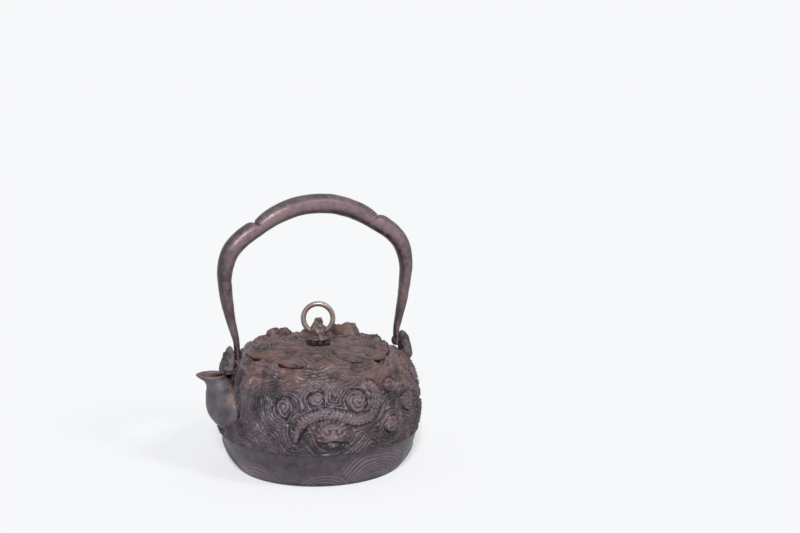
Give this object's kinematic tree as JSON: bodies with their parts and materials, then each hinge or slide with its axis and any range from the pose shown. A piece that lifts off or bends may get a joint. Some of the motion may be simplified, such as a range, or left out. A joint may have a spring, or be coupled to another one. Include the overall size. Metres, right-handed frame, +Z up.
{
  "type": "cast iron water kettle",
  "caption": "Round cast-iron water kettle with relief body, plain jug spout, swinging bail handle riveted to shoulder lugs, and craggy lift-off lid with ring knob.",
  "frame": {"origin": "the middle of the flat base, on the surface the kettle stands on", "axes": "+Z up, the spout towards -X, the bail handle in the XZ plane when it stands up"},
  "size_m": [0.1709, 0.1572, 0.2047],
  "materials": {
    "body_iron": "dark lacquered iron, matt, rust-brown on the relief",
    "spout_iron": "smooth dark iron, satin, rust at the seam",
    "lug_iron": "rough cast iron, matt",
    "rivet_iron": "worn iron, satin",
    "handle_iron": "smooth lacquered iron, satin",
    "lid_iron": "rough cast iron, matt, rusty edges",
    "knob_iron": "rough cast iron, matt",
    "seat_copper": "dark patinated copper alloy, satin",
    "ring_bronze": "brown patinated bronze, satin"
  },
  "bodies": {
    "kettle": {"kettle_body": "body_iron", "spout": "spout_iron", "lug_spout_side": "lug_iron", "lug_far_side": "lug_iron", "handle_rivet_spout_side": "rivet_iron", "handle_rivet_far_side": "rivet_iron"},
    "handle": {"bail_handle": "handle_iron"},
    "lid": {"lid": "lid_iron", "lid_knob": "knob_iron", "knob_seat": "seat_copper", "knob_washer": "seat_copper"},
    "ring": {"lid_ring": "ring_bronze"}
  },
  "joints": [
    {"name": "handle_swing", "type": "hinge", "parent": "kettle", "child": "handle", "pos_m": [0, 0, 0.088], "axis": [1, 0, 0], "range_deg": [-100, 100]},
    {"name": "lid_lift", "type": "slide", "parent": "kettle", "child": "lid", "axis": [0, 0, 1], "range_m": [0, 0.05]},
    {"name": "ring_swing", "type": "hinge", "parent": "lid", "child": "ring", "pos_m": [0, 0, 0.0994], "axis": [0.9397, -0.342, 0], "range_deg": [-100, 100]}
  ]
}
